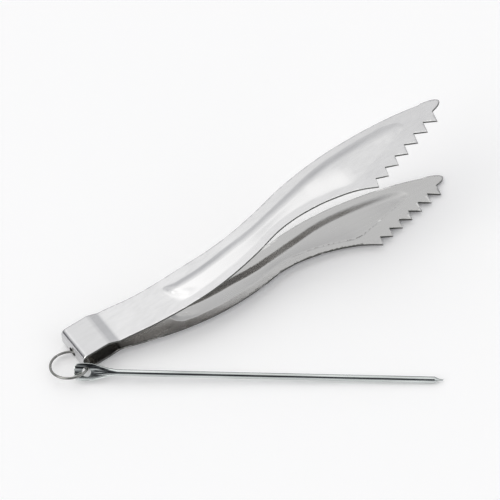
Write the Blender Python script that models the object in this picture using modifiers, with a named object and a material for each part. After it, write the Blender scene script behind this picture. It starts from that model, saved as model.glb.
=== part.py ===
"""Spring tongs for hot coals or ice: one bent steel strip with saw-edged jaws, a key ring and a poker pin.

The tongs lie on a flat surface (z = 0) with their jaws towards +X. The strip is cut into three nodes
at the two lines where it flexes, so that the arms can close.
"""
from math import asin, atan, atan2, cos, hypot, pi, radians, sin

import bmesh
import bpy
from mathutils import Matrix, Vector

MM = 0.001

# Strip: one length of spring sheet, folded into a box at the back.
SHEET = 0.8 * MM
BOX_WIDTH = 14.7 * MM
BOX_HEIGHT = 8.4 * MM
BOX_LENGTH = 10.6 * MM
BEND_RADIUS = 2.0 * MM           # outside of the back's two bends
WAIST_HEIGHT = 5.3 * MM          # over both sheets, in front of the box
FLEX_X = 14.0 * MM               # where the arms are parted from the box
FLEX_GAP = 0.3 * MM
ARM_SLOPE = 0.1455               # rise of each arm per length of tongs
RING_HOLE_RADIUS = 1.75 * MM
RING_HOLE_Y = 0.5 * MM           # from the middle of the back face
RING_HOLE_Z = -0.8 * MM

# Blade outline in the arm's own plane: distance along the arm from the flex line, then sideways.
# +Y is the far, smooth side; the near side carries the saw teeth.
FAR_EDGE = [(16.2, 3.9), (34.4, 2.5), (50.5, 1.8), (65.7, 3.1), (80.9, 5.7), (96.0, 6.8), (111.2, 6.1),
            (126.4, 4.0)]
NEAR_EDGE = [(103.1, -14.2), (95.0, -11.2), (84.9, -9.0), (72.8, -8.5), (58.6, -11.2), (44.5, -12.8),
             (31.3, -12.7), (16.2, -10.9)]
ARM_ROOT_FAR = 7.1
ARM_ROOT_NEAR = -7.8
BEAK = [(133.8, 2.4), (140.3, 0.6), (141.1, 0.75), (143.0, 0.15), (144.9, -0.6), (146.4, -1.6), (147.0, -2.6),
        (146.4, -3.5), (145.4, -4.1)]
TOOTH_COUNT = 7
FIRST_TIP = (141.4, -9.4)
FIRST_VALLEY = (142.5, -4.85)
TIP_STEP = (-5.38, -1.4)
VALLEY_STEP = (-5.37, -1.56)

# Panel pressed outwards in each blade, which stiffens it.
PANEL_BACK = [(26.2, -8.5), (24.0, -4.35), (26.2, -0.2)]
PANEL_SIDES_FROM = 29.0          # from here its sides follow the blade's edges
PANEL_FAR_MARGIN = 2.6
PANEL_NEAR_MARGIN = 3.0
PANEL_FRONT = [(103.5, -10.4), (108.0, -9.6), (118.0, -6.9), (127.0, -4.4), (130.9, -2.9), (130.6, -1.3)]
PANEL_SLOPE = 1.5 * MM
PANEL_RISE = 0.9 * MM
PANEL_CONTACT = 130.5 * MM       # along the lower arm, where its panel touches the table

# Ring: bright wire through the hole in the back face and round the box's open near side.
RING_RADIUS = 6.9 * MM           # to the middle of the wire
WIRE_RADIUS = 0.475 * MM
RING_CENTRE = Vector((-4.65, -4.20, 3.49)) * MM
RING_TILT = radians(11)
RING_BUTT_ANGLE = radians(97)
RING_BUTT_GAP = 0.3 * MM
RING_HOLE_ANGLE = radians(46.7)  # where the wire passes through the back face
RING_EYE_ANGLE = radians(-64.5)  # where the poker hangs on it

# Poker pin: a rod with one end hammered flat and pierced.
EYE_CENTRE = Vector((-1.62, -10.50, 4.31)) * MM
POKER_TIP = Vector((104.98, -79.88, 1.25)) * MM
POKER_ROLL = radians(52)
HEAD_THICKNESS = 0.9 * MM
HEAD_OUTLINE = [(-4.3, 2.3), (-3.6, 3.05), (0.0, 3.3), (3.5, 2.8), (7.0, 1.85), (11.0, 1.05)]
POINT_PROFILE = [(0.0, 0.0), (0.27, 0.08), (0.42, 1.45), (1.2, 3.3)]  # radius, distance from the tip
NECK_PROFILE = [(1.2, 9.0), (0.4, 3.6), (0.0, 3.5)]                   # radius, distance from the eye
EYE_HALF_LENGTH = 1.45
EYE_HALF_WIDTH = 1.7

# The middle of the whole object's box, so that the origin is under its centre.
BOX_CENTRE_X = 74.32 * MM
BOX_CENTRE_Y = -36.34 * MM

CURVE_STEPS = 5
BEND_STEPS = 8
ROD_STEPS = 16
HOLE_POINTS = 24
EYE_POINTS = 20
RING_POINTS = 48
WIRE_STEPS = 2
SHARP_ANGLE = radians(35)
WELD_DISTANCE = 0.01 * MM


def clear_scene():
    for item in list(bpy.data.objects):
        bpy.data.objects.remove(item, do_unlink=True)


def new_collection(name):
    group = bpy.data.collections.new(name)
    bpy.context.scene.collection.children.link(group)
    return group


def steel(name, colour, roughness):
    material = bpy.data.materials.new(name)
    material.use_nodes = True
    shader = material.node_tree.nodes["Principled BSDF"]
    shader.inputs["Base Color"].default_value = (*colour, 1.0)
    shader.inputs["Metallic"].default_value = 1.0
    shader.inputs["Roughness"].default_value = roughness
    return material


def new_object(name, data, group, material=None, parent=None):
    item = bpy.data.objects.new(name, data)
    group.objects.link(item)
    item.parent = parent
    if material:
        data.materials.append(material)
    return item


def new_empty(name, group, location, rotation=(0, 0, 0), parent=None):
    empty = new_object(name, None, group, parent=parent)
    empty.location = location
    empty.rotation_euler = rotation
    return empty


def make_cutter(item):
    item.hide_render = True
    item.display_type = "WIRE"
    return item


def flat_curve(splines):
    """A filled 2D curve. Each spline is a closed list of (x, y, smooth) points in millimetres."""
    data = bpy.data.curves.new("outline", "CURVE")
    data.dimensions = "2D"
    data.fill_mode = "BOTH"
    data.resolution_u = CURVE_STEPS
    for points in splines:
        spline = data.splines.new("BEZIER")
        spline.bezier_points.add(len(points) - 1)
        spline.use_cyclic_u = True
        for point, (x, y, smooth) in zip(spline.bezier_points, points):
            point.co = (x * MM, y * MM, 0)
            handle = "AUTO" if smooth else "VECTOR"
            point.handle_left_type = handle
            point.handle_right_type = handle
    return data


def curve_to_mesh(data):
    """The filled curve as a mesh with its loose seams welded."""
    holder = bpy.data.objects.new("holder", data)
    bpy.context.scene.collection.objects.link(holder)
    evaluated = holder.evaluated_get(bpy.context.evaluated_depsgraph_get())
    mesh = bpy.data.meshes.new_from_object(evaluated)
    bpy.data.objects.remove(holder)
    bpy.data.curves.remove(data)
    shape = bmesh.new()
    shape.from_mesh(mesh)
    bmesh.ops.remove_doubles(shape, verts=shape.verts, dist=WELD_DISTANCE)
    shape.to_mesh(mesh)
    shape.free()
    return mesh


def shade_round(mesh):
    mesh.shade_smooth()
    mesh.set_sharp_from_angle(angle=SHARP_ANGLE)


# ---------------------------------------------------------------- strip

def arc(centre, radius, start, end):
    steps = [start + (end - start) * i / BEND_STEPS for i in range(BEND_STEPS + 1)]
    return [(centre[0] + radius * cos(angle), centre[1] + radius * sin(angle)) for angle in steps]


def joggle(start, end):
    """The S bend that brings a sheet from the box's height down to the waist."""
    points = []
    for i in range(BEND_STEPS + 1):
        part = i / BEND_STEPS
        ease = part * part * (3 - 2 * part)
        points.append((start[0] + (end[0] - start[0]) * part, start[1] + (end[1] - start[1]) * ease))
    return points


def box_midline():
    """Middle of the sheet, from the upper flex line round the back to the lower one."""
    top = (BOX_HEIGHT - SHEET) / 2
    waist = (WAIST_HEIGHT - SHEET) / 2
    radius = BEND_RADIUS - SHEET / 2
    end = FLEX_X - FLEX_GAP / 2
    upper = joggle((end, waist), (BOX_LENGTH, top))
    upper += arc((BEND_RADIUS, top - radius), radius, pi / 2, pi)
    return upper + [(x, -z) for x, z in reversed(upper)]


def thicken(line, thickness):
    """Closed outline of a bent sheet, half its thickness to each side of the middle line."""
    left, right = [], []
    for i, (x, z) in enumerate(line):
        before = line[max(i - 1, 0)]
        after = line[min(i + 1, len(line) - 1)]
        along = Vector((after[0] - before[0], after[1] - before[1])).normalized()
        side = Vector((-along.y, along.x)) * thickness / 2
        left.append((x + side.x, z + side.y))
        right.append((x - side.x, z - side.y))
    return left + right[::-1]


def make_back_box(group, helpers, material, tongs):
    data = flat_curve([[(x / MM, z / MM, False) for x, z in thicken(box_midline(), SHEET)]])
    data.extrude = BOX_WIDTH / 2
    box = new_object("back_box", curve_to_mesh(data), group, material, tongs)
    box.rotation_euler = (pi / 2, 0, 0)
    shade_round(box.data)

    drill = bmesh.new()
    bmesh.ops.create_cone(drill, cap_ends=True, segments=HOLE_POINTS, radius1=RING_HOLE_RADIUS,
                          radius2=RING_HOLE_RADIUS, depth=BEND_RADIUS * 2)
    mesh = bpy.data.meshes.new("ring_hole")
    drill.to_mesh(mesh)
    drill.free()
    cutter = make_cutter(new_object("ring_hole_cutter", mesh, helpers, parent=tongs))
    cutter.rotation_euler = (0, pi / 2, 0)
    cutter.location = (0, RING_HOLE_Y, RING_HOLE_Z)
    hole = box.modifiers.new("ring_hole", "BOOLEAN")
    hole.object = cutter
    hole.operation = "DIFFERENCE"
    hole.solver = "EXACT"


def saw_teeth():
    """Teeth from the beak back to the widest part of the blade: valley, then tip."""
    points = []
    for i in range(TOOTH_COUNT):
        points.append((FIRST_VALLEY[0] + i * VALLEY_STEP[0], FIRST_VALLEY[1] + i * VALLEY_STEP[1], False))
        points.append((FIRST_TIP[0] + i * TIP_STEP[0], FIRST_TIP[1] + i * TIP_STEP[1], False))
    return points


def blade_outline():
    root = FLEX_GAP / 2 / MM
    outline = [(root, ARM_ROOT_FAR, False)]
    outline += [(x, y, True) for x, y in FAR_EDGE]
    outline += [(x, y, True) for x, y in BEAK]
    outline += saw_teeth()
    outline += [(x, y, True) for x, y in NEAR_EDGE]
    outline.append((root, ARM_ROOT_NEAR, False))
    return outline


def panel_outline():
    far = [(x, y - PANEL_FAR_MARGIN) for x, y in FAR_EDGE if x > PANEL_SIDES_FROM]
    near = [(x, y + PANEL_NEAR_MARGIN) for x, y in NEAR_EDGE[1:] if x > PANEL_SIDES_FROM]
    return [(x, y, True) for x, y in PANEL_BACK + far + PANEL_FRONT[::-1] + near]


def make_arm(name, side, group, material, tongs):
    """One blade: flat sheet with a panel pressed outwards; side is +1 for the upper arm."""
    shape = bmesh.new()
    shape.from_mesh(curve_to_mesh(flat_curve([blade_outline(), panel_outline()])))
    margin_faces = len(shape.faces)
    shape.from_mesh(curve_to_mesh(flat_curve([panel_outline()])))
    shape.faces.ensure_lookup_table()
    panel = bmesh.ops.dissolve_faces(shape, faces=shape.faces[margin_faces:])["region"]
    bmesh.ops.remove_doubles(shape, verts=shape.verts, dist=WELD_DISTANCE)
    bmesh.ops.inset_region(shape, faces=panel, thickness=PANEL_SLOPE, depth=side * PANEL_RISE,
                           use_even_offset=True)
    mesh = bpy.data.meshes.new(name)
    shape.to_mesh(mesh)
    shape.free()
    arm = new_object(name, mesh, group, material, tongs)
    arm.location = (FLEX_X, 0, side * (WAIST_HEIGHT - SHEET) / 2)
    arm.rotation_euler = (0, -side * atan(ARM_SLOPE), 0)
    sheet = arm.modifiers.new("sheet", "SOLIDIFY")
    sheet.thickness = SHEET
    sheet.offset = 0
    sheet.use_even_offset = True


# ---------------------------------------------------------------- ring and poker

def on_ring(angle):
    """Point on the middle of the wire, in the table's frame."""
    flat = Vector((cos(angle), sin(angle), 0)) * RING_RADIUS
    return RING_CENTRE + Matrix.Rotation(-RING_TILT, 3, "X") @ flat


def make_ring(group, material, ground):
    data = bpy.data.curves.new("ring", "CURVE")
    data.dimensions = "3D"
    data.bevel_depth = WIRE_RADIUS
    data.bevel_resolution = WIRE_STEPS
    data.use_fill_caps = True
    spline = data.splines.new("POLY")
    spline.points.add(RING_POINTS - 1)
    gap = RING_BUTT_GAP / RING_RADIUS
    for i, point in enumerate(spline.points):
        angle = RING_BUTT_ANGLE + gap / 2 + (2 * pi - gap) * i / (RING_POINTS - 1)
        point.co = (RING_RADIUS * cos(angle), RING_RADIUS * sin(angle), 0, 1)
    pivot = on_ring(RING_HOLE_ANGLE)
    axis = new_empty("ring_axis", group, pivot, parent=ground)
    ring = new_object("ring", data, group, material, axis)
    ring.location = RING_CENTRE - pivot
    ring.rotation_euler = (-RING_TILT, 0, 0)


def poker_frame(ground, group):
    """Empty at the eye: +X runs down the rod, +Y across the flattened head. Its parent is on the wire."""
    wire = on_ring(RING_EYE_ANGLE)
    axis = new_empty("poker_axis", group, wire, parent=ground)
    along = POKER_TIP - EYE_CENTRE
    heading = atan2(along.y, along.x)
    dip = asin(-along.z / along.length)
    eye = new_empty("poker_eye", group, EYE_CENTRE - wire, (POKER_ROLL, dip, heading), axis)
    return eye, along.length


def make_rod(length, group, material, parent):
    """Turned rod: a taper out of the head, a straight shank and a blunt point."""
    profile = [(radius * MM, length - back * MM) for radius, back in POINT_PROFILE]
    profile += [(radius * MM, ahead * MM) for radius, ahead in NECK_PROFILE]
    shape = bmesh.new()
    verts = [shape.verts.new((radius, 0, z)) for radius, z in profile]
    for first, second in zip(verts, verts[1:]):
        shape.edges.new((first, second))
    mesh = bpy.data.meshes.new("poker")
    shape.to_mesh(mesh)
    shape.free()
    rod = new_object("poker", mesh, group, material, parent)
    rod.rotation_euler = (0, pi / 2, 0)
    turn = rod.modifiers.new("turned", "SCREW")
    turn.steps = ROD_STEPS
    turn.render_steps = ROD_STEPS
    turn.use_merge_vertices = True
    turn.merge_threshold = WELD_DISTANCE
    turn.use_smooth_shade = True
    return rod


def make_head(group, parent):
    """Flattened, pierced end of the rod, as a plate that the rod is joined to."""
    near = [(x, -y, True) for x, y in HEAD_OUTLINE]
    far = [(x, y, True) for x, y in reversed(HEAD_OUTLINE)]
    turns = [2 * pi * i / EYE_POINTS for i in range(EYE_POINTS)]
    eye = [(EYE_HALF_LENGTH * cos(a), EYE_HALF_WIDTH * sin(a), False) for a in turns]
    data = flat_curve([near + far, eye])
    data.extrude = HEAD_THICKNESS / 2
    return make_cutter(new_object("poker_head", curve_to_mesh(data), group, parent=parent))


def make_poker(group, helpers, material, ground):
    eye, length = poker_frame(ground, group)
    rod = make_rod(length, group, material, eye)
    head = make_head(helpers, eye)
    join = rod.modifiers.new("head", "BOOLEAN")
    join.object = head
    join.operation = "UNION"
    join.solver = "EXACT"


# ---------------------------------------------------------------- whole object

def resting_pitch():
    """Lean of the tongs when the back's lower bend and the lower panel's front end touch the table."""
    slope = atan(ARM_SLOPE)
    drop = SHEET / 2 + PANEL_RISE
    contact_x = FLEX_X + PANEL_CONTACT * cos(slope) - drop * sin(slope)
    contact_z = -(WAIST_HEIGHT - SHEET) / 2 - PANEL_CONTACT * sin(slope) - drop * cos(slope)
    bend_x = BEND_RADIUS
    bend_z = BEND_RADIUS - BOX_HEIGHT / 2
    distance = hypot(contact_x - bend_x, contact_z - bend_z)
    return -atan2(contact_z - bend_z, contact_x - bend_x) - asin(BEND_RADIUS / distance)


def main():
    clear_scene()
    parts = new_collection("ice_tongs")
    helpers = new_collection("cutters")
    strip = steel("brushed_stainless", (0.72, 0.72, 0.73), 0.32)
    bright = steel("bright_nickel", (0.78, 0.78, 0.77), 0.18)
    zinc = steel("zinc_plate", (0.60, 0.63, 0.63), 0.38)

    ground = new_empty("table", parts, (-BOX_CENTRE_X, -BOX_CENTRE_Y, 0))
    pitch = resting_pitch()
    rise = (BEND_RADIUS - BEND_RADIUS * sin(pitch)) / cos(pitch) - (BEND_RADIUS - BOX_HEIGHT / 2)
    tongs = new_empty("tongs_axis", parts, (-rise * sin(pitch), 0, rise * cos(pitch)),
                      (0, -pitch, 0), ground)

    make_back_box(parts, helpers, strip, tongs)
    make_arm("upper_arm", 1, parts, strip, tongs)
    make_arm("lower_arm", -1, parts, strip, tongs)
    make_ring(parts, bright, ground)
    make_poker(parts, helpers, zinc, ground)


main()
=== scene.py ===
"""Looks of the spring tongs, their ring and the poker pin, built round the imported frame."""
from math import asin, atan, atan2, cos, pi, radians, sin

import bmesh
import bpy
import numpy as np
from mathutils import Matrix, Vector, noise

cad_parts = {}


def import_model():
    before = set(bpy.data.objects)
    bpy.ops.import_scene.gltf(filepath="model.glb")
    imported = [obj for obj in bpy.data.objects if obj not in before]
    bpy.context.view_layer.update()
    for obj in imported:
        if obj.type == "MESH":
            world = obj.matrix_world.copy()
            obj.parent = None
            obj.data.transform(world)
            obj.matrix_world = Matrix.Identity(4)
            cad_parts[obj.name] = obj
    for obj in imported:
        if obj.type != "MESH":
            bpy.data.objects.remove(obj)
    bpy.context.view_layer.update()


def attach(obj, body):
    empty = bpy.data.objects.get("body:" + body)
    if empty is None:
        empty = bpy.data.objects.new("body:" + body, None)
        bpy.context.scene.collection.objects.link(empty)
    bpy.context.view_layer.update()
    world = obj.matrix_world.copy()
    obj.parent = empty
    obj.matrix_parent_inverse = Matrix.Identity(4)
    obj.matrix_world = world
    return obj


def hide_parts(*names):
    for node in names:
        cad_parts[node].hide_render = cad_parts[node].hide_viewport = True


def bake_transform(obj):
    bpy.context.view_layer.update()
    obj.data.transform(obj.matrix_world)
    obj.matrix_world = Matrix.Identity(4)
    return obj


MM = 0.001
TINY = 1e-9                      # keeps a division from being by nothing
MIN_EDGE = 0.01                  # points of an outline closer together than this become one

# Where the tongs stand in the frame: origin in the middle of the back face, +X along them, +Z up.
TONGS = Matrix.Translation((-0.0748246, 0.03634, 0.0039272)) @ Matrix.Rotation(-0.12778, 4, "Y")
TABLE = Matrix.Translation((-0.07432, 0.03634, 0))

# Strip, in millimetres.
SHEET = 0.8
HALF_WIDTH = 7.35
BOX_HEIGHT = 8.4
BOX_LENGTH = 10.9
BEND_RADIUS = 2.0
WAIST_HEIGHT = 5.3
FLEX_X = 14.0
STEP_END = 1.2                   # the arm is straight from here, measured from the flex line
BEND_SOFTNESS = 1.5              # length of strip over which a kink is rounded
SEAM_X = 5.0                     # the two visible halves of the strip meet under the box
ARM_SLOPE = 0.1455
ARM_LENGTH = 150.0
# Points along the strip's folded path: on a flat, round a bend, along an arm, and their final spacing.
FLAT_POINTS = 12
BEND_POINTS = 24
ARM_POINTS = 600
PATH_STEP = 0.1
WIDE_END = -3.0                  # the strip's edges are parallel up to here, before the flex line
HOLE_RADIUS = 1.75
HOLE_Y = 0.5
HOLE_Z = -0.8
HOLE_POINTS = 32

# Blade outline: distance from the flex line, then sideways; +Y is the smooth side.
FAR_EDGE = [(0.15, 7.1), (16.2, 3.9), (34.4, 2.5), (50.5, 1.8), (65.7, 3.1), (80.9, 5.7), (96.0, 6.8),
            (111.2, 6.1), (126.4, 4.0)]
NEAR_EDGE = [(103.1, -14.2), (95.0, -11.2), (84.9, -9.0), (72.8, -8.5), (58.6, -11.2), (44.5, -12.8),
             (31.3, -12.7), (16.2, -10.9), (0.15, -7.8)]
NECK = [(133.8, 2.4)]
SHOULDER = [(140.3, 0.6), (141.1, 0.75)]
BEAK = [(143.0, 0.15), (144.9, -0.6), (146.4, -1.6), (147.0, -2.6), (146.4, -3.5), (145.4, -4.1)]
TOOTH_COUNT = 7
FIRST_TIP = (141.4, -9.4)
FIRST_VALLEY = (142.5, -4.85)
TIP_STEP = (-5.38, -1.4)
VALLEY_STEP = (-5.37, -1.56)

# Pressed panel, laid flat: steep along the far side and the ends, fading out towards the near side.
PANEL_BACK = [(25.8, -8.4), (23.7, -4.6), (24.2, -0.8)]
PANEL_FAR = [(30.0, -1.3), (36.0, -1.8), (43.0, -1.9), (52.0, -1.4), (62.0, -1.0), (72.0, 0.4), (82.0, 2.1),
             (92.0, 3.8), (102.0, 4.3), (111.2, 3.75), (120.0, 2.7), (126.4, 1.35)]
PANEL_NEAR_MARGIN = 3.0          # the near side keeps this far from the blade's edge
PANEL_NEAR_FROM = 29.0           # and starts here
PANEL_FRONT = [(130.6, -1.3), (130.9, -2.9), (127.0, -4.4), (118.0, -6.9), (108.0, -9.6), (103.5, -10.4)]
PANEL_TIP_POINTS = 2             # of the front, how many belong to the steep side
EDGE_ROUND = 0.09                # sheared edges are rounded by this much
PANEL_RISE = 0.9
PANEL_WALL = {1: 3.5, -1: 2.9}   # width of the steep side on the upper and the lower half
WALL_NOMINAL = 80.0              # where it has that width; towards the tip it widens, per millimetre,
WALL_GROWTH = 0.004              # and on the upper half it narrows as much towards the root
CREASE_WIDTH = 0.4
CREASE_DEPTH = 0.14              # groove where the lower panel's shallow side starts
CREASE_FROM = (62.0, 80.0)       # it deepens between these distances
PANEL_SHALLOW = 9.5              # width of the upper panel's shallow side
SHALLOW_POWER = 0.75             # below 1 it rises sooner
LOWER_REACH = 1.1                # above 1 the lower panel is at full depth before its far side
WALL_MIX = (0.55, 0.45)          # a wall's straight and rounded parts
CORNER_REACH = 2.0               # the back wall's line ends this far past the panel's far corner
BACK_WALL = (1.6, 0.75)          # upper panel's back wall: width at its far corner, growth per millimetre
BEND_GRID = 0.4                  # spacing of the cuts across the strip up to BEND_END
BEND_END = 12.0
BLADE_GRID = (1.0, 0.5)          # spacing of the cuts along and across the blade
BLADE_REACH = (147.0, -13.2, 7.3)  # where those cuts end along it, and where they start and end across
GRID_MERGE = 0.08                # a cut this close to a corner goes through the corner
# Face attribute that the weighted normals read, so that the rounded rim doesn't tilt the flats' shading.
NORMAL_STRENGTH = "__mod_weightednormals_faceweight"
WEAK = -16384
# Slots of the sheet's materials; the outside has slot 0.
INSIDE = 1
CUT_EDGE = 2
# Edges that turn by more than this are shaded sharp.
SHEET_SHARP = radians(75)
RING_SHARP = radians(60)
POKER_SHARP = radians(42)

# Ring and poker, in the table's frame.
RING_RADIUS = 6.9
WIRE_RADIUS = 0.475
RING_CENTRE = (-4.65, -4.20, 3.49)
RING_TILT = radians(11)
RING_BUTT_ANGLE = radians(97)
RING_BUTT_GAP = 0.3
RING_STEPS = 180
WIRE_POINTS = 20
EYE_CENTRE = Vector((-1.62, -10.50, 4.31))
POKER_TIP = Vector((104.98, -79.88, 1.25))
POKER_ROLL = radians(52)
# Distance from the eye, half width, half thickness, squareness.
HEAD_SECTIONS = [(-4.35, 2.1, 0.30, 4.0), (-4.2, 2.35, 0.38, 4.0), (-3.6, 2.95, 0.44, 4.0),
                 (-2.0, 3.25, 0.45, 4.0), (0.0, 3.3, 0.45, 4.0), (2.0, 3.1, 0.47, 4.0),
                 (4.0, 2.65, 0.55, 3.5), (6.0, 2.1, 0.70, 3.0), (8.0, 1.6, 0.92, 2.4), (11.0, 1.2, 1.2, 2.0)]
# Distance from the tip, radius.
POINT_SECTIONS = [(3.2, 1.2), (3.1, 1.19), (1.5, 0.44), (1.35, 0.41), (0.12, 0.30), (0.03, 0.24),
                  (0.0, 0.12)]
HEAD_START = -4.35
HEAD_END = 11.0
FINE_END = -3.5                  # the head's sections lie closer together up to here
FINE_STEP = 0.1
HEAD_STEP = 0.25
ROD_STEP = 8.0
ROD_RADIUS = 1.2
ROD_POINTS = 128
POINT_LENGTH = 3.3
# Hammer marks: furrows along the head's faces, and its ragged edges.
FURROW_DEPTH = 0.11
FURROW_FADE = (4.0, 7.0)         # they fade from this distance from the eye, over this length
FURROW_PITCH = (0.16, 2.6)       # noise per millimetre along and across
FACE_PLANES = (11, 4)            # where in the noise the lower and the upper face lie
FLAT_EDGE = (0.3, 6)             # the furrows end this far outside the edge, with this power
RAGGED_DEPTH = 0.8               # of the furrows' depth
RAGGED_PITCH = 0.9
EDGE_PLANES = (17, 7)
EYE_HALF_LENGTH = 1.45
EYE_HALF_WIDTH = 1.7
# The eye's rims: height, how much wider it is there.
EYE_RIMS = [(-0.9, 0.42), (-0.42, 0.16), (-0.2, 0.0), (0.2, 0.0), (0.42, 0.16), (0.9, 0.42)]
EYE_POINTS = 48


# ---------------------------------------------------------------- meshes

def mesh_object(name, shape, matrix=None):
    mesh = bpy.data.meshes.new(name)
    shape.to_mesh(mesh)
    shape.free()
    mesh.shade_smooth()
    item = bpy.data.objects.new(name, mesh)
    bpy.context.scene.collection.objects.link(item)
    if matrix:
        item.matrix_world = matrix
    return item


def curved(points, steps=10):
    """Points of a closed smooth line through (x, y, smooth) points; those not smooth stay corners."""
    data = bpy.data.curves.new("outline", "CURVE")
    data.dimensions = "2D"
    data.fill_mode = "NONE"
    data.resolution_u = steps
    spline = data.splines.new("BEZIER")
    spline.bezier_points.add(len(points) - 1)
    spline.use_cyclic_u = True
    for point, (x, y, smooth) in zip(spline.bezier_points, points):
        point.co = (x, y, 0)
        point.handle_left_type = point.handle_right_type = "AUTO" if smooth else "VECTOR"
    holder = bpy.data.objects.new("holder", data)
    bpy.context.scene.collection.objects.link(holder)
    mesh = bpy.data.meshes.new_from_object(holder.evaluated_get(bpy.context.evaluated_depsgraph_get()))
    bpy.data.objects.remove(holder)
    bpy.data.curves.remove(data)
    line = [vert.co.xy for vert in mesh.vertices]
    return np.array([p for p, after in zip(line, line[1:] + line[:1]) if (p - after).length > MIN_EDGE])


def add_line(shape, line):
    """Closed line of edges in the plane; returns its vertices."""
    verts = [shape.verts.new((x, y, 0)) for x, y in line]
    for first, second in zip(verts, verts[1:] + verts[:1]):
        shape.edges.new((first, second))
    return verts


def loft(rings):
    """Closed body through rings of points, each ring with the same number of points."""
    shape = bmesh.new()
    rows = [[shape.verts.new(point) for point in ring] for ring in rings]
    count = len(rows[0])
    for row, following in zip(rows, rows[1:]):
        for i in range(count):
            j = (i + 1) % count
            shape.faces.new((row[i], row[j], following[j], following[i]))
    shape.faces.new(rows[0][::-1])
    shape.faces.new(rows[-1])
    bmesh.ops.recalc_face_normals(shape, faces=shape.faces)
    return shape


# ---------------------------------------------------------------- strip

def smoothstep(value):
    """0 to 1 with a soft start and a soft end."""
    value = np.clip(value, 0, 1)
    return value * value * (3 - 2 * value)


def arm_path():
    """Middle of the sheet from above the seam, along the top of the box, to the tip, as (x, z) points."""
    top, waist = (BOX_HEIGHT - SHEET) / 2, (WAIST_HEIGHT - SHEET) / 2
    flat = [(x, top) for x in np.linspace(SEAM_X, BOX_LENGTH, FLAT_POINTS)]
    slope = atan(ARM_SLOPE)
    far = np.linspace(STEP_END, ARM_LENGTH, ARM_POINTS)
    line = list(zip(FLEX_X + far * cos(slope), waist + far * sin(slope)))
    return np.array(flat + line)


def soften(path, reach):
    """Rounds the kink at the flex line by averaging each point with its neighbours along the path."""
    length = arc_length(path)
    even = np.arange(0, length[-1], PATH_STEP)
    x, z = np.interp(even, length, path[:, 0]), np.interp(even, length, path[:, 1])
    size = int(reach / PATH_STEP)
    window = np.hanning(size + 2)[1:-1]
    window /= window.sum()
    smooth = [np.convolve(np.pad(v, size, "reflect", reflect_type="odd"), window, "same")[size:-size]
              for v in (x, z)]
    return np.stack(smooth, 1)


def arc_length(path):
    """Length along the path up to each of its points."""
    return np.concatenate([[0], np.cumsum(np.hypot(*np.diff(path, axis=0).T))])


def back_path():
    """Middle of the sheet from the seam under the box, round the back, to the same place on top."""
    top = (BOX_HEIGHT - SHEET) / 2
    radius = BEND_RADIUS - SHEET / 2
    bend = [(BEND_RADIUS + radius * cos(a), top - radius + radius * sin(a))
            for a in np.linspace(pi, pi / 2, BEND_POINTS)]
    upper = [(SHEET / 2, z) for z in np.linspace(0, top - radius, FLAT_POINTS)[:-1]] + bend
    upper += [(x, top) for x in np.linspace(BEND_RADIUS, SEAM_X, FLAT_POINTS)[1:-1]]
    lower = [(x, -z) for x, z in upper[:0:-1]]
    return np.array([(SEAM_X, -top)] + lower + upper)


def saw_teeth():
    """Outline points of the teeth, from the one next to the beak towards the root."""
    points = []
    for i in range(TOOTH_COUNT):
        points.append((FIRST_VALLEY[0] + i * VALLEY_STEP[0], FIRST_VALLEY[1] + i * VALLEY_STEP[1], False))
        points.append((FIRST_TIP[0] + i * TIP_STEP[0], FIRST_TIP[1] + i * TIP_STEP[1], False))
    return points


def blank_outline(start):
    """The strip laid flat: from its cut end at start (negative, behind the flex line) to the beak."""
    wide = [(start, HALF_WIDTH, False), (WIDE_END, HALF_WIDTH, False)]
    outline = wide + [(x, y, True) for x, y in FAR_EDGE + NECK] + [(x, y, False) for x, y in SHOULDER]
    outline += [(x, y, True) for x, y in BEAK] + saw_teeth()
    outline += [(x, y, True) for x, y in NEAR_EDGE]
    return outline + [(x, -y, smooth) for x, y, smooth in wide[::-1]]


def panel_sides():
    """(steep side with both ends, shallow near side) of the panel's outline."""
    near = [(x, y + PANEL_NEAR_MARGIN) for x, y in NEAR_EDGE[1:] if x > PANEL_NEAR_FROM]
    steep = PANEL_BACK + PANEL_FAR + PANEL_FRONT[:PANEL_TIP_POINTS]
    return steep, PANEL_FRONT[PANEL_TIP_POINTS:] + near


def distance_to(points, line):
    """Distance from each point to an open line, all as numpy arrays."""
    best = np.full(len(points), np.inf)
    for start, end in zip(line, line[1:]):
        along = end - start
        part = np.clip((points - start) @ along / (along @ along), 0, 1)
        best = np.minimum(best, np.hypot(*(points - start - part[:, None] * along).T))
    return best


def blank_mesh(start, hole):
    """Flat blank with a loop along its edge and the panel's outline in it."""
    steep, shallow = panel_sides()
    outline = curved([(x, y, True) for x, y in steep + shallow])
    shape = bmesh.new()
    panel = add_line(shape, outline)
    add_line(shape, curved(blank_outline(start)))
    if hole:
        add_line(shape, hole)
    lines = set(shape.edges)
    panel_edges = [edge for edge in shape.edges if edge.verts[0] in panel]
    bmesh.ops.triangle_fill(shape, edges=shape.edges[:], use_beauty=True, normal=(0, 0, 1))
    filled = bmesh.ops.triangle_fill(shape, edges=panel_edges, use_beauty=True, normal=(0, 0, 1))["geom"]
    for edge in shape.edges:
        edge.seam = edge not in lines
    faces = [item for item in filled if isinstance(item, bmesh.types.BMFace)]
    for outwards in (True, False):
        bmesh.ops.inset_region(shape, faces=faces, thickness=CREASE_WIDTH, use_boundary=True,
                               use_outset=outwards)
    bmesh.ops.recalc_face_normals(shape, faces=shape.faces)
    shape.faces.ensure_lookup_table()
    if shape.faces[0].normal.z < 0:
        bmesh.ops.reverse_faces(shape, faces=shape.faces)
    strength = shape.faces.layers.int.new(NORMAL_STRENGTH)
    rim = bmesh.ops.inset_region(shape, faces=shape.faces[:], thickness=EDGE_ROUND, use_boundary=True,
                                 use_even_offset=True)["faces"]
    for face in rim:
        face[strength] = WEAK
        face.material_index = CUT_EDGE
    return shape, outline


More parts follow.
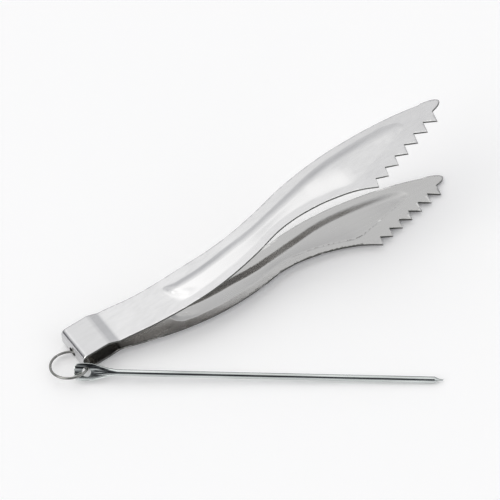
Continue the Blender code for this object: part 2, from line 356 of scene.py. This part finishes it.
def cut_grid(shape, start):
    """Cuts the blank across wherever it bends, and into a fine grid over the blade."""
    end, low, high = BLADE_REACH
    bends = np.arange(start + BEND_GRID, BEND_END, BEND_GRID)
    for x in [*bends, *np.arange(BEND_END, end, BLADE_GRID[0])]:
        geometry = shape.verts[:] + shape.edges[:] + shape.faces[:]
        bmesh.ops.bisect_plane(shape, geom=geometry, plane_co=(x, 0, 0), plane_no=(1, 0, 0), dist=GRID_MERGE)
    for y in np.arange(low, high, BLADE_GRID[1]):
        geometry = shape.verts[:] + shape.edges[:] + shape.faces[:]
        bmesh.ops.bisect_plane(shape, geom=geometry, plane_co=(0, y, 0), plane_no=(0, 1, 0), dist=GRID_MERGE)


def drop_diagonals(shape):
    """Joins the pieces of the first fill's triangles, which leaves the grid's squares."""
    bmesh.ops.dissolve_edges(shape, edges=[edge for edge in shape.edges if edge.seam], use_verts=True)


def panel_height(points, outline, side):
    """How far the panel stands out at each blank point. The upper one starts softly on its shallow side,
    the lower one slopes over its whole width from a crease.
    """
    to_steep, to_shallow = [distance_to(outline, np.array(line)) for line in panel_sides()]
    is_near = to_shallow < to_steep
    order = np.roll(np.arange(len(outline)), -int(np.argmax(is_near & ~np.roll(is_near, 1))))
    closed, near = outline[order], is_near[order]
    near_line = closed[near]
    far_line = np.concatenate([closed[~near], closed[:1]])
    to_near, to_far = distance_to(points, near_line), distance_to(points, far_line)
    x, y = points.T
    back_wall = 1.0
    if side > 0:
        reach = np.minimum(PANEL_SHALLOW, to_near + to_far)
        shallow_part = smoothstep((to_near / (reach + TINY)) ** SHALLOW_POWER)
        corner = np.array(PANEL_BACK[-1])
        is_back = (far_line[:, 0] < corner[0] + CORNER_REACH) & (far_line[:, 1] < corner[1])
        to_far = distance_to(points, far_line[~is_back])
        width = BACK_WALL[0] + BACK_WALL[1] * np.maximum(corner[1] - y, 0)
        back_wall = smoothstep(distance_to(points, far_line[is_back]) / width)
    else:
        share = to_near / (to_near + to_far + TINY)
        shallow_part = np.sin(np.clip(LOWER_REACH * share, 0, 1) * pi / 2)
    beyond = x - WALL_NOMINAL if side > 0 else np.maximum(x - WALL_NOMINAL, 0)
    wall = np.clip(to_far / PANEL_WALL[side] / (1 + WALL_GROWTH * beyond), 0, 1)
    straight, rounded = WALL_MIX
    height = PANEL_RISE * shallow_part * back_wall * (straight * wall + rounded * smoothstep(wall))
    height = np.where(inside(points, outline), height, 0.0)
    if side < 0:
        depth = CREASE_DEPTH * smoothstep((x - CREASE_FROM[0]) / (CREASE_FROM[1] - CREASE_FROM[0]))
        height += depth * np.clip(1 - to_near / CREASE_WIDTH, 0, 1) * smoothstep(to_far / CREASE_WIDTH)
    return height


def inside(points, outline):
    """Whether each point lies within a closed line: its edges are crossed an odd number of times."""
    x, y = points.T
    result = np.zeros(len(points), bool)
    for (x0, y0), (x1, y1) in zip(outline, np.roll(outline, -1, axis=0)):
        crosses = (y0 > y) != (y1 > y)
        with np.errstate(divide="ignore", invalid="ignore"):
            result ^= crosses & (x < (x1 - x0) * (y - y0) / (y1 - y0) + x0)
    return result


def fold(shape, outline, path, flex_length, side):
    """Bends the blank onto the path. Blank x counts from the flex line; side is +1 for the upper half."""
    length = arc_length(path)
    tangent = np.gradient(path, length, axis=0)
    tangent /= np.hypot(*tangent.T)[:, None]
    points = np.array([vert.co.xy for vert in shape.verts])
    height = panel_height(points, outline, side)
    along = points[:, 0] + flex_length
    for vert, s, up in zip(shape.verts, along, height):
        x, z = [np.interp(s, length, path[:, i]) for i in (0, 1)]
        tx, tz = [np.interp(s, length, tangent[:, i]) for i in (0, 1)]
        vert.co = Vector((x - tz * up, vert.co.y, side * (z + tx * up))) * MM
    if side < 0:
        bmesh.ops.reverse_faces(shape, faces=shape.faces)


def give_thickness(item):
    """Thickens the folded blank; its cut edges are thinner, which rounds them."""
    shape = bmesh.new()
    shape.from_mesh(item.data)
    full = [vert.index for vert in shape.verts if not vert.is_boundary]
    shape.free()
    item.vertex_groups.new(name="full_thickness").add(full, 1.0, "REPLACE")
    sheet = item.modifiers.new("sheet", "SOLIDIFY")
    sheet.thickness = SHEET * MM
    sheet.offset = 0
    sheet.vertex_group = "full_thickness"
    sheet.thickness_vertex_group = 1 - 2 * EDGE_ROUND / SHEET
    sheet.material_offset = INSIDE
    sheet.material_offset_rim = CUT_EDGE
    solid = bpy.data.meshes.new_from_object(item.evaluated_get(bpy.context.evaluated_depsgraph_get()))
    solid.set_sharp_from_angle(angle=SHEET_SHARP)
    item.modifiers.clear()
    item.vertex_groups.clear()
    item.data = solid
    flat = item.modifiers.new("flat", "WEIGHTED_NORMAL")
    flat.keep_sharp = True
    flat.use_face_influence = True


def hole_points(path, flex_length):
    """Round hole of the back face, laid flat."""
    length = arc_length(path)
    back = path[:, 0] < BEND_RADIUS - SHEET
    points = []
    for angle in np.linspace(0, 2 * pi, HOLE_POINTS, endpoint=False):
        z = HOLE_Z + HOLE_RADIUS * sin(angle)
        s = np.interp(z, path[back, 1], length[back])
        points.append((s - flex_length, HOLE_Y + HOLE_RADIUS * cos(angle)))
    return points


def make_strip_half(name, side, with_back, materials):
    arm = soften(arm_path(), BEND_SOFTNESS)
    back = back_path()
    path = np.concatenate([back, arm]) if with_back else arm
    length = arc_length(path)
    flex = length[-1] - arc_length(arm)[-1] + float(np.interp(FLEX_X, arm[:, 0], arc_length(arm)))
    start = -flex
    hole = hole_points(path, flex) if with_back else None
    shape, outline = blank_mesh(start, hole)
    cut_grid(shape, start)
    drop_diagonals(shape)
    fold(shape, outline, path, flex, side)
    item = mesh_object(name, shape, TONGS)
    for material in materials:
        item.data.materials.append(material)
    give_thickness(item)
    return item


# ---------------------------------------------------------------- ring and poker

def circle(count, radius, squareness=2.0, flatness=1.0):
    """Points of a superellipse in the (y, z) plane; flatness is its height over its width."""
    points = []
    for i in range(count):
        a = 2 * pi * i / count
        y = abs(cos(a)) ** (2 / squareness) * (1 if cos(a) >= 0 else -1)
        z = abs(sin(a)) ** (2 / squareness) * (1 if sin(a) >= 0 else -1)
        points.append((radius * y, radius * flatness * z))
    return points


def make_ring(material):
    gap = RING_BUTT_GAP / RING_RADIUS
    rings = []
    for angle in np.linspace(RING_BUTT_ANGLE + gap / 2, RING_BUTT_ANGLE - gap / 2 + 2 * pi, RING_STEPS):
        out = Vector((cos(angle), sin(angle), 0))
        centre = out * RING_RADIUS
        section = circle(WIRE_POINTS, WIRE_RADIUS)
        rings.append([(centre + out * y + Vector((0, 0, z))) * MM for y, z in section])
    place = TABLE @ Matrix.Translation(Vector(RING_CENTRE) * MM) @ Matrix.Rotation(-RING_TILT, 4, "X")
    ring = mesh_object("ring", loft(rings), place)
    ring.data.set_sharp_from_angle(angle=RING_SHARP)
    ring.data.materials.append(material)
    return ring


def head_ring(x):
    """One section of the hammered head, with its lengthwise furrows."""
    table = np.array(HEAD_SECTIONS)
    half, thick, square = [float(np.interp(x, table[:, 0], table[:, i])) for i in (1, 2, 3)]
    fade_start, fade_length = FURROW_FADE
    depth = FURROW_DEPTH * (1 - float(smoothstep(np.array((x - fade_start) / fade_length))))
    margin, power = FLAT_EDGE
    points = []
    for y, z in circle(ROD_POINTS, half, square, thick / half):
        furrow = noise.noise(Vector((x * FURROW_PITCH[0], y * FURROW_PITCH[1], FACE_PLANES[z > 0])))
        ragged = noise.noise(Vector((x * RAGGED_PITCH, 0, EDGE_PLANES[y > 0])))
        y += RAGGED_DEPTH * depth * ragged * (1 if y > 0 else -1) * (abs(y) / half) ** 2
        z += depth * furrow * (1 if z > 0 else -1) * (1 - (abs(y) / (half + margin)) ** power)
        points.append(Vector((x, y, z)) * MM)
    return points


def eye_cutter():
    """Hourglass that pierces the head, so that the eye's rims are worn round."""
    rings = []
    for z, grow in EYE_RIMS:
        rings.append([Vector(((EYE_HALF_LENGTH + grow) * cos(a), (EYE_HALF_WIDTH + grow) * sin(a), z)) * MM
                      for a in np.linspace(0, 2 * pi, EYE_POINTS, endpoint=False)])
    cutter = mesh_object("eye_cutter", loft(rings))
    cutter.hide_render = True
    cutter.display_type = "WIRE"
    return cutter


def make_poker(material):
    along = POKER_TIP - EYE_CENTRE
    rings = [head_ring(x) for x in np.arange(HEAD_START, FINE_END, FINE_STEP)]
    rings += [head_ring(x) for x in np.arange(FINE_END, HEAD_END, HEAD_STEP)]
    for x in np.arange(HEAD_END, along.length - POINT_LENGTH, ROD_STEP):
        rings.append([Vector((x, y, z)) * MM for y, z in circle(ROD_POINTS, ROD_RADIUS)])
    for back, radius in POINT_SECTIONS:
        rings.append([Vector((along.length - back, y, z)) * MM for y, z in circle(ROD_POINTS, radius)])
    turn = (Matrix.Rotation(atan2(along.y, along.x), 4, "Z")
            @ Matrix.Rotation(asin(-along.z / along.length), 4, "Y") @ Matrix.Rotation(POKER_ROLL, 4, "X"))
    place = TABLE @ Matrix.Translation(EYE_CENTRE * MM) @ turn
    poker = mesh_object("poker", loft(rings))
    poker.data.materials.append(material)
    cutter = eye_cutter()
    pierce = poker.modifiers.new("eye", "BOOLEAN")
    pierce.object = cutter
    pierce.solver = "EXACT"
    pierced = bpy.data.meshes.new_from_object(poker.evaluated_get(bpy.context.evaluated_depsgraph_get()))
    poker.modifiers.clear()
    poker.data = pierced
    bpy.data.objects.remove(cutter)
    pierced.set_sharp_from_angle(angle=POKER_SHARP)
    poker.matrix_world = place
    return poker


# ---------------------------------------------------------------- materials

GRAIN_DETAIL = 5.0
PATCH_SCALE = 95.0               # blotches per metre
PATCH_DETAIL = 4.0
TONE_SPREAD = 0.05               # least spread between dark and bright blotches
WORN_FROM = 0.54                 # pointiness of the corners that start to look worn
WORN_FULL = 0.62
WORN_COLOUR = (0.85, 0.85, 0.84, 1)
BUMP_STRENGTH = 0.12
BUMP_DISTANCE = 0.00002
GRAIN = (14, 900, 900)           # grain per metre along and across the strip
FLOOR_COLOUR = (0.96, 0.96, 0.97, 1)
FLOOR_ROUGHNESS = 0.7
FLOOR_GLOW = 0.10                # light of its own, which keeps the floor pale


def metal(name, colour, roughness, grain=0.0, stretch=(1, 1, 1), blotch=0.0, wear=0.0, painted_shade=(-1, 0, 1),
          streaks=0.03):
    """Metal with grain along the object's X, blotches in colour and gloss, worn corners, and painted shade
    along X.
    streaks: how much the grain changes its colour.
    painted_shade: painted shade along X; between these two places its colour goes from that factor to its
    full value.
    """
    material = bpy.data.materials.new(name)
    material.use_nodes = True
    nodes, links = material.node_tree.nodes, material.node_tree.links
    shader = nodes["Principled BSDF"]
    shader.inputs["Metallic"].default_value = 1.0

    place = nodes.new("ShaderNodeTexCoord")
    scale = nodes.new("ShaderNodeMapping")
    scale.inputs["Scale"].default_value = stretch
    links.new(place.outputs["Object"], scale.inputs["Vector"])
    lines = nodes.new("ShaderNodeTexNoise")
    lines.inputs["Scale"].default_value = 1.0
    lines.inputs["Detail"].default_value = GRAIN_DETAIL
    links.new(scale.outputs["Vector"], lines.inputs["Vector"])
    patches = nodes.new("ShaderNodeTexNoise")
    patches.inputs["Scale"].default_value = PATCH_SCALE
    patches.inputs["Detail"].default_value = PATCH_DETAIL
    links.new(place.outputs["Object"], patches.inputs["Vector"])

    def ranged(source, low, high, start=0.3, end=0.7):
        node = nodes.new("ShaderNodeMapRange")
        node.inputs["From Min"].default_value = start
        node.inputs["From Max"].default_value = end
        node.inputs["To Min"].default_value = low
        node.inputs["To Max"].default_value = high
        links.new(source, node.inputs["Value"])
        return node.outputs["Result"]

    def summed(first, second):
        node = nodes.new("ShaderNodeMath")
        node.operation = "ADD"
        links.new(first, node.inputs[0])
        links.new(second, node.inputs[1])
        return node.outputs["Value"]

    gloss = summed(ranged(lines.outputs["Fac"], roughness - grain, roughness + grain),
                   ranged(patches.outputs["Fac"], -blotch, blotch))
    edges = nodes.new("ShaderNodeNewGeometry")
    worn = ranged(edges.outputs["Pointiness"], 0.0, wear, WORN_FROM, WORN_FULL)
    links.new(gloss, shader.inputs["Roughness"])

    tone = nodes.new("ShaderNodeMixRGB")
    spread = 0.5 * blotch + TONE_SPREAD
    tone.inputs["Color1"].default_value = (*[c * (1 - spread) for c in colour], 1)
    tone.inputs["Color2"].default_value = (*[min(c * (1 + spread), 1) for c in colour], 1)
    links.new(patches.outputs["Fac"], tone.inputs["Fac"])
    split = nodes.new("ShaderNodeSeparateXYZ")
    links.new(place.outputs["Object"], split.inputs["Vector"])
    streaked_and_shaded = nodes.new("ShaderNodeVectorMath")
    streaked_and_shaded.operation = "SCALE"
    links.new(tone.outputs["Color"], streaked_and_shaded.inputs[0])
    factor = nodes.new("ShaderNodeMath")
    factor.operation = "MULTIPLY"
    # Painted shade: the colour is scaled down along X by the painted_shade factor, and by the grain's
    # streaks.
    links.new(ranged(split.outputs["X"], painted_shade[2], 1.0, painted_shade[0], painted_shade[1]), factor.inputs[0])
    links.new(ranged(lines.outputs["Fac"], 1 - streaks, 1 + streaks), factor.inputs[1])
    links.new(factor.outputs["Value"], streaked_and_shaded.inputs["Scale"])
    bright = nodes.new("ShaderNodeMixRGB")
    bright.inputs["Color2"].default_value = WORN_COLOUR
    links.new(worn, bright.inputs["Fac"])
    links.new(streaked_and_shaded.outputs["Vector"], bright.inputs["Color1"])
    links.new(bright.outputs["Color"], shader.inputs["Base Color"])

    bump = nodes.new("ShaderNodeBump")
    bump.inputs["Strength"].default_value = BUMP_STRENGTH
    bump.inputs["Distance"].default_value = BUMP_DISTANCE
    links.new(lines.outputs["Fac"], bump.inputs["Height"])
    links.new(bump.outputs["Normal"], shader.inputs["Normal"])
    return material


def floor_material():
    material = bpy.data.materials.new("pale_floor")
    material.use_nodes = True
    shader = material.node_tree.nodes["Principled BSDF"]
    shader.inputs["Base Color"].default_value = FLOOR_COLOUR
    shader.inputs["Roughness"].default_value = FLOOR_ROUGHNESS
    shader.inputs["Emission Color"].default_value = (1, 1, 1, 1)
    shader.inputs["Emission Strength"].default_value = FLOOR_GLOW
    return material


# ---------------------------------------------------------------- studio

CAMERA_PLACE = Vector((-0.5796, -0.7362, 1.1864))
CAMERA_BACK = Vector((-0.3365, -0.5150, 0.7883)).normalized()
CAMERA_RIGHT = Vector((0.8417, -0.5401, 0.0064))
CAMERA_AIM = (0.04208, 0.02412)  # how far its axis leans sideways and upwards from that direction
CAMERA_LENS = 303.0
SENSOR_WIDTH = 36.0
CLIP_RANGE = (0.05, 20.0)
FLOOR_HALF_SIZE = 4.0
FLOOR_DROP = 0.00003             # the floor lies this far under the object's lowest point
BASE_LIGHT = 0.5                 # from everywhere
TINT = (1.012, 1.0, 0.965)       # powers of red, green and blue: warm where bright, cool where dim
# Direction, brightness, then the angles from that direction where it is full and where it ends.
SOFTBOXES = [((-0.50, 0.25, 0.83), 0.24, 12, 55), ((0.15, 0.45, 0.88), 0.58, 10, 42),
             ((-0.38, 0.18, 0.91), 0.68, 5, 25), ((-0.80, 0.00, 0.60), 1.9, 8, 30),
             ((0.85, 0.45, 0.25), 0.08, 15, 45), ((0.15, 1.00, 0.05), 0.26, 15, 45),
             ((0.55, -0.50, 0.67), 0.45, 8, 32)]
DARK_SIDES = [((-0.84, 0.50, 0.20), -0.42, 10, 26), ((-0.41, -0.52, 0.75), -0.49, 18, 36)]


def make_world():
    """Studio dome: an even glow, with large soft lights and dim places in it."""
    world = bpy.data.worlds.new("studio")
    bpy.context.scene.world = world
    world.use_nodes = True
    nodes, links = world.node_tree.nodes, world.node_tree.links
    place = nodes.new("ShaderNodeTexCoord")
    total = nodes.new("ShaderNodeValue").outputs["Value"]
    total.default_value = BASE_LIGHT
    for direction, strength, full, end in SOFTBOXES + DARK_SIDES:
        dot = nodes.new("ShaderNodeVectorMath")
        dot.operation = "DOT_PRODUCT"
        dot.inputs[1].default_value = Vector(direction).normalized()
        links.new(place.outputs["Generated"], dot.inputs[0])
        lobe = nodes.new("ShaderNodeMapRange")
        lobe.interpolation_type = "SMOOTHSTEP"
        lobe.inputs["From Min"].default_value = cos(radians(end))
        lobe.inputs["From Max"].default_value = cos(radians(full))
        lobe.inputs["To Min"].default_value = 0.0
        lobe.inputs["To Max"].default_value = strength
        links.new(dot.outputs["Value"], lobe.inputs["Value"])
        add = nodes.new("ShaderNodeMath")
        links.new(total, add.inputs[0])
        links.new(lobe.outputs["Result"], add.inputs[1])
        total = add.outputs["Value"]
    glow = nodes.new("ShaderNodeCombineXYZ")
    for channel, power in zip(glow.inputs, TINT):
        raised = nodes.new("ShaderNodeMath")
        raised.operation = "POWER"
        raised.inputs[1].default_value = power
        links.new(total, raised.inputs[0])
        links.new(raised.outputs["Value"], channel)
    links.new(glow.outputs["Vector"], nodes["Background"].inputs["Color"])


def make_floor():
    shape = bmesh.new()
    bmesh.ops.create_grid(shape, x_segments=1, y_segments=1, size=FLOOR_HALF_SIZE)
    floor = mesh_object("floor", shape, Matrix.Translation((0, 0, -FLOOR_DROP)))
    floor.data.materials.append(floor_material())


def make_camera():
    up = CAMERA_BACK.cross(CAMERA_RIGHT).normalized()
    away = (CAMERA_BACK - CAMERA_AIM[0] * CAMERA_RIGHT - CAMERA_AIM[1] * up).normalized()
    right = (CAMERA_RIGHT - away * CAMERA_RIGHT.dot(away)).normalized()
    data = bpy.data.cameras.new("camera")
    data.lens = CAMERA_LENS
    data.sensor_width = SENSOR_WIDTH
    data.clip_start, data.clip_end = CLIP_RANGE
    camera = bpy.data.objects.new("camera", data)
    bpy.context.scene.collection.objects.link(camera)
    turn = Matrix((right, away.cross(right), away)).transposed().to_4x4()
    camera.matrix_world = Matrix.Translation(CAMERA_PLACE) @ turn
    bpy.context.scene.camera = camera


def main():
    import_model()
    # Outside: painted shade makes it darker along the front half of the arms, towards the tips.
    outer = metal("strip_outside", (0.59, 0.59, 0.60), roughness=0.20, grain=0.04, stretch=GRAIN,
                  blotch=0.03, wear=0.5, painted_shade=(0.086, -0.01, 0.82))
    # Lower half's inside: painted shade. It is darker than the outside's steel, and darker still on the
    # box's floor and the lower arm's root.
    inside_shaded = metal("strip_inside", (0.49, 0.488, 0.485), roughness=0.22, grain=0.05, stretch=GRAIN,
                  blotch=0.05, wear=0.5, painted_shade=(-0.062, -0.052, 0.45))
    # Upper half's inside: painted shade, a much darker copy of the steel, so that the lower panel's far wall
    # mirrors a dark underside.
    underside_shaded = metal("strip_underside_painted_shade", (0.33, 0.315, 0.295), roughness=0.28, grain=0.05, stretch=GRAIN,
                   blotch=0.05, wear=0.5)
    # Cut edges: near black. This is partly their rough sheared finish and partly painted shade for the
    # shadowed floor they face.
    sheared_and_shaded = metal("strip_cut_edge", (0.05, 0.052, 0.045), roughness=0.40, grain=0.08,
                    stretch=(60, 60, 1800), blotch=0.05, wear=0.4)
    wire = metal("ring_wire", (0.28, 0.28, 0.27), roughness=0.06, grain=0.05, stretch=(900, 900, 900),
                 blotch=0.04, wear=0.3)
    zinc = metal("poker_zinc", (0.62, 0.65, 0.64), roughness=0.15, grain=0.06, stretch=(40, 1400, 1400),
                 blotch=0.04, wear=0.5, streaks=0.28)

    upper = make_strip_half("strip_upper", 1, True, (outer, underside_shaded, sheared_and_shaded))
    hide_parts("back_box", "upper_arm")
    lower = make_strip_half("strip_lower", -1, False, (outer, inside_shaded, sheared_and_shaded))
    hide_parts("lower_arm")
    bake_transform(upper)
    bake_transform(lower)

    ring = make_ring(wire)
    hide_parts("ring")
    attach(ring, "ring")
    poker = make_poker(zinc)
    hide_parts("poker")
    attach(poker, "poker")

    make_world()
    make_floor()
    make_camera()
    bpy.context.scene.view_settings.view_transform = "Standard"


main()
